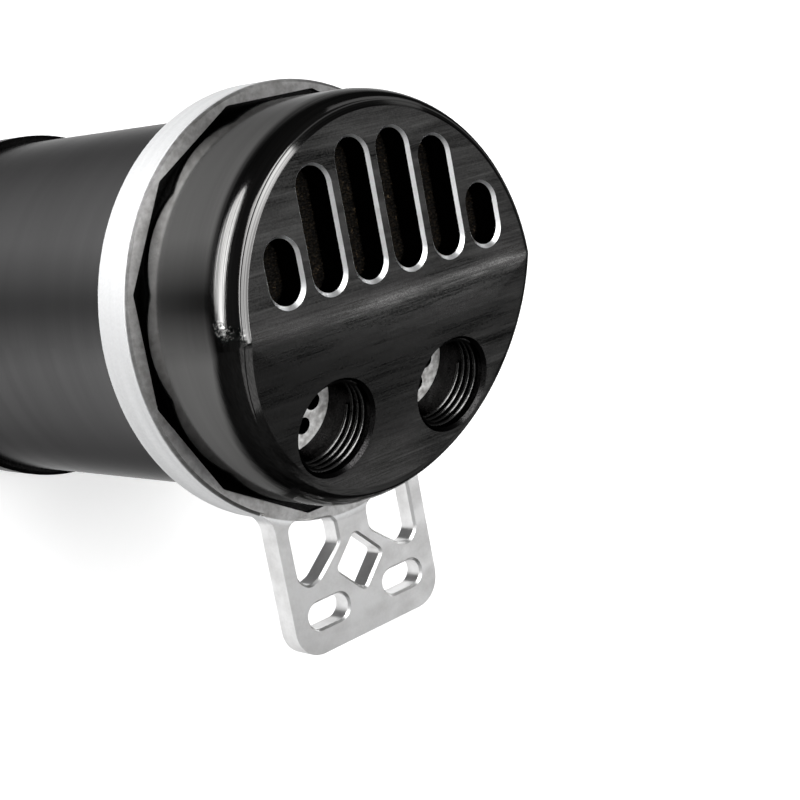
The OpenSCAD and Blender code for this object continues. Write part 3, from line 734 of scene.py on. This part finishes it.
def make_foam_tree(material):
    tree, sockets, given = start_maker(
        "foam_surface", {"Width": 0.08, "Depth": 0.04, "Step": 0.001, "Cell": 0.001, "Pit": 0.001})
    sheet = add(tree, "GeometryNodeMeshGrid", {
        "Size X": given["Width"], "Size Y": given["Depth"],
        "Vertices X": maths(tree, "DIVIDE", given["Width"], given["Step"]),
        "Vertices Y": maths(tree, "DIVIDE", given["Depth"], given["Step"])})
    place = add(tree, "GeometryNodeInputPosition").outputs[0]
    scale = maths(tree, "DIVIDE", 1.0, given["Cell"])
    cells = add(tree, "ShaderNodeTexVoronoi", {"Vector": place, "Scale": scale},
                feature="DISTANCE_TO_EDGE", voronoi_dimensions="2D").outputs["Distance"]
    rough = add(tree, "ShaderNodeTexNoise", {
        "Vector": place, "Scale": maths(tree, "MULTIPLY", scale, 0.4), "Detail": 2.0}).outputs[0]
    sink = maths(tree, "MULTIPLY", given["Pit"], maths(
        tree, "ADD", maths(tree, "MULTIPLY", spread(tree, cells, 0.02, 0.30), CELL_SHARE),
        maths(tree, "MULTIPLY", spread(tree, rough, 0.3, 0.7), ROUGH_SHARE)))
    drop = add(tree, "ShaderNodeCombineXYZ", {"Z": maths(tree, "MULTIPLY", sink, -1.0)})
    moved = add(tree, "GeometryNodeSetPosition", {"Geometry": sheet.outputs[0], "Offset": drop.outputs[0]})
    soft = add(tree, "GeometryNodeSetShadeSmooth", {"Geometry": moved.outputs[0]})
    end_maker(tree, soft.outputs[0], material)
    return tree, sockets


SLOT_FIELD = (74 * MM, 35 * MM)
SLOT_FIELD_Y = 21.8 * MM
for point in pieces["breather_foam"].data.vertices:
    if point.co.z > FOAM_TOP - 0.01 * MM:
        point.co.z -= FOAM_PORE_DEPTH + FOAM_BODY_BELOW
foam_tree, foam_sockets = make_foam_tree(FOAM)
foam_place = Matrix.Translation((0, SLOT_FIELD_Y, FOAM_TOP - FOAM_SURFACE_BELOW))
surface = bake("foam_surface", foam_tree, foam_sockets, {
    "Width": SLOT_FIELD[0], "Depth": SLOT_FIELD[1], "Step": FOAM_STEP, "Cell": FOAM_CELL,
    "Pit": FOAM_PORE_DEPTH}, foam_place)
foam_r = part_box("breather_foam")[1].x - FOAM_EDGE_GAP
work = bmesh.new()
work.from_mesh(surface.data)
past_edge = [v for v in work.verts if math.hypot(v.co.x, v.co.y) > foam_r]
bmesh.ops.delete(work, geom=past_edge, context="VERTS")
work.to_mesh(surface.data)
work.free()
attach(surface, frame["nodes"]["breather_foam"]["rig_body"])
print(surface.name, len(surface.data.polygons), "faces")

# %% [markdown]
# ## Floor
# Black metal shows only what it reflects, so the studio is built for its reflections. The floor is white
# to the eye, but in a reflection it is a lit table of limited size: it fades to dark beyond the table,
# and in the narrow sector where the photograph's camera stands. The dark parts are fixed in the scene and
# act on reflections only.

# %% Floor
TABLE_EDGE = (0.20, 0.30)
CAMERA_SECTOR = (math.radians(3), math.radians(30))
SECTOR_REACH = (0.12, 0.19)
NEAR_SHARE = 0.35
DARK_SHARE = 0.04
TABLE_LEVEL = 0.95
GLOW_REACH = (0.3, 1.5)
GLOW_LEVEL = (0.5, 1.0)
FLOOR_WHITE = (0.86, 0.86, 0.86, 1)
FLOOR_HALF = 4.0


def make_pale_floor():
    """Diffuse white with a glow for the camera, and the lit table for reflections."""
    material = bpy.data.materials.new("pale_floor")
    material.use_nodes = True
    tree = material.node_tree
    tree.nodes.clear()
    place = add(tree, "ShaderNodeTexCoord").outputs["Object"]
    towards = math.atan2(CAMERA_AT.y, CAMERA_AT.x)
    turned = add(tree, "ShaderNodeVectorRotate", {
        "Vector": place, "Angle": -towards}, rotation_type="Z_AXIS")
    part = add(tree, "ShaderNodeSeparateXYZ", {0: turned.outputs[0]}).outputs
    reach = add(tree, "ShaderNodeVectorMath", {0: place}, operation="LENGTH").outputs["Value"]
    swing = maths(tree, "ABSOLUTE", maths(tree, "ARCTAN2", part["Y"], part["X"]))
    dark = spread(tree, reach, *SECTOR_REACH, NEAR_SHARE, DARK_SHARE)
    lit = maths(tree, "MULTIPLY", spread(tree, reach, *TABLE_EDGE, 1.0, DARK_SHARE),
                weigh(tree, dark, 1.0, spread(tree, swing, *CAMERA_SECTOR)))
    matt = add(tree, "ShaderNodeBsdfDiffuse", {"Color": FLOOR_WHITE})
    path = add(tree, "ShaderNodeLightPath").outputs
    glow = add(tree, "ShaderNodeEmission", {"Strength": maths(
        tree, "MULTIPLY", path["Is Camera Ray"], spread(tree, reach, *GLOW_REACH, *GLOW_LEVEL))})
    seen = add(tree, "ShaderNodeAddShader", {0: matt.outputs[0], 1: glow.outputs[0]})
    table = add(tree, "ShaderNodeEmission", {"Strength": maths(tree, "MULTIPLY", lit, TABLE_LEVEL)})
    both = add(tree, "ShaderNodeMixShader", {
        0: path["Is Glossy Ray"], 1: seen.outputs[0], 2: table.outputs[0]})
    add(tree, "ShaderNodeOutputMaterial", {"Surface": both.outputs[0]})
    return material


def make_floor(half):
    mesh = bpy.data.meshes.new("floor")
    corners = [(-half, -half, 0), (half, -half, 0), (half, half, 0), (-half, half, 0)]
    mesh.from_pydata(corners, [], [(0, 1, 2, 3)])
    floor = bpy.data.objects.new("floor", mesh)
    bpy.context.collection.objects.link(floor)
    mesh.materials.append(make_pale_floor())
    return floor


print("floor", make_floor(FLOOR_HALF).name)

# %% [markdown]
# ## Lamps and world
# The large box overhead and the low lamp at the left stand where their reflections are seen in the
# photograph, found by following the view off the metal. The small lamps lift the face, the crease, the
# slope and the other sides a little. All are hidden from the camera, and some act on reflections only. The
# world is nearly dark, but white to the camera, so the ground stays white.

# %% Lamps and world
OVERHEAD_AT = Vector((-0.21, 0.52, 1.24))
ALMOST_DOWN = Vector((0, 0.0001, -1.24))
WORLD_LEVEL = (0.05, 1.0)


def softbox(name, at, size, radiance, aim=None, reflections_only=False, shape="RECTANGLE"):
    """A soft lamp hidden from the camera; radiance is how bright it looks in a mirror."""
    data = bpy.data.lights.new(name, "AREA")
    data.shape = shape
    data.size, data.size_y = size
    area = size[0] * size[1] * (math.pi / 4 if shape == "ELLIPSE" else 1)
    data.energy = radiance * math.pi * area
    lamp = bpy.data.objects.new(name, data)
    lamp.matrix_world = aimed(at, aim or Vector((0, 0, LID_TOP)))
    lamp.visible_camera = False
    lamp.visible_diffuse = not reflections_only
    bpy.context.collection.objects.link(lamp)


def around(azimuth, elevation, distance):
    """A place seen from the lid's top in a direction given in degrees."""
    turn, rise = math.radians(azimuth), math.radians(elevation)
    return Vector((0, 0, LID_TOP)) + distance * Vector(
        (math.cos(turn) * math.cos(rise), math.sin(turn) * math.cos(rise), math.sin(rise)))


softbox("overhead", OVERHEAD_AT, (1.02, 1.65), 5.5, aim=OVERHEAD_AT + ALMOST_DOWN)
softbox("low_left", around(149, -13.5, 0.28), (0.34, 0.095), 8.5, reflections_only=True, shape="ELLIPSE")
softbox("face_light", around(-12, 50, 1.3), (0.7, 0.6), 0.30)
softbox("crease_light", around(-27, 39, 1.2), (0.24, 0.13), 2.2)
softbox("slope_light", around(-46, 15, 1.2), (0.8, 0.6), 0.30, reflections_only=True)
softbox("back_right", around(45, 5, 1.2), (0.8, 0.4), 0.45, reflections_only=True)
softbox("front_left", around(-130, 40, 1.2), (1.0, 0.5), 0.35, reflections_only=True)

world = bpy.data.worlds.new("studio")
world.use_nodes = True
sky = world.node_tree
seen_by_camera = add(sky, "ShaderNodeLightPath").outputs["Is Camera Ray"]
sky.nodes["Background"].inputs["Color"].default_value = (1, 1, 1, 1)
level = spread(sky, seen_by_camera, 0.0, 1.0, *WORLD_LEVEL)
sky.links.new(level, sky.nodes["Background"].inputs["Strength"])
bpy.context.scene.world = world
bpy.context.scene.view_settings.view_transform = "Standard"
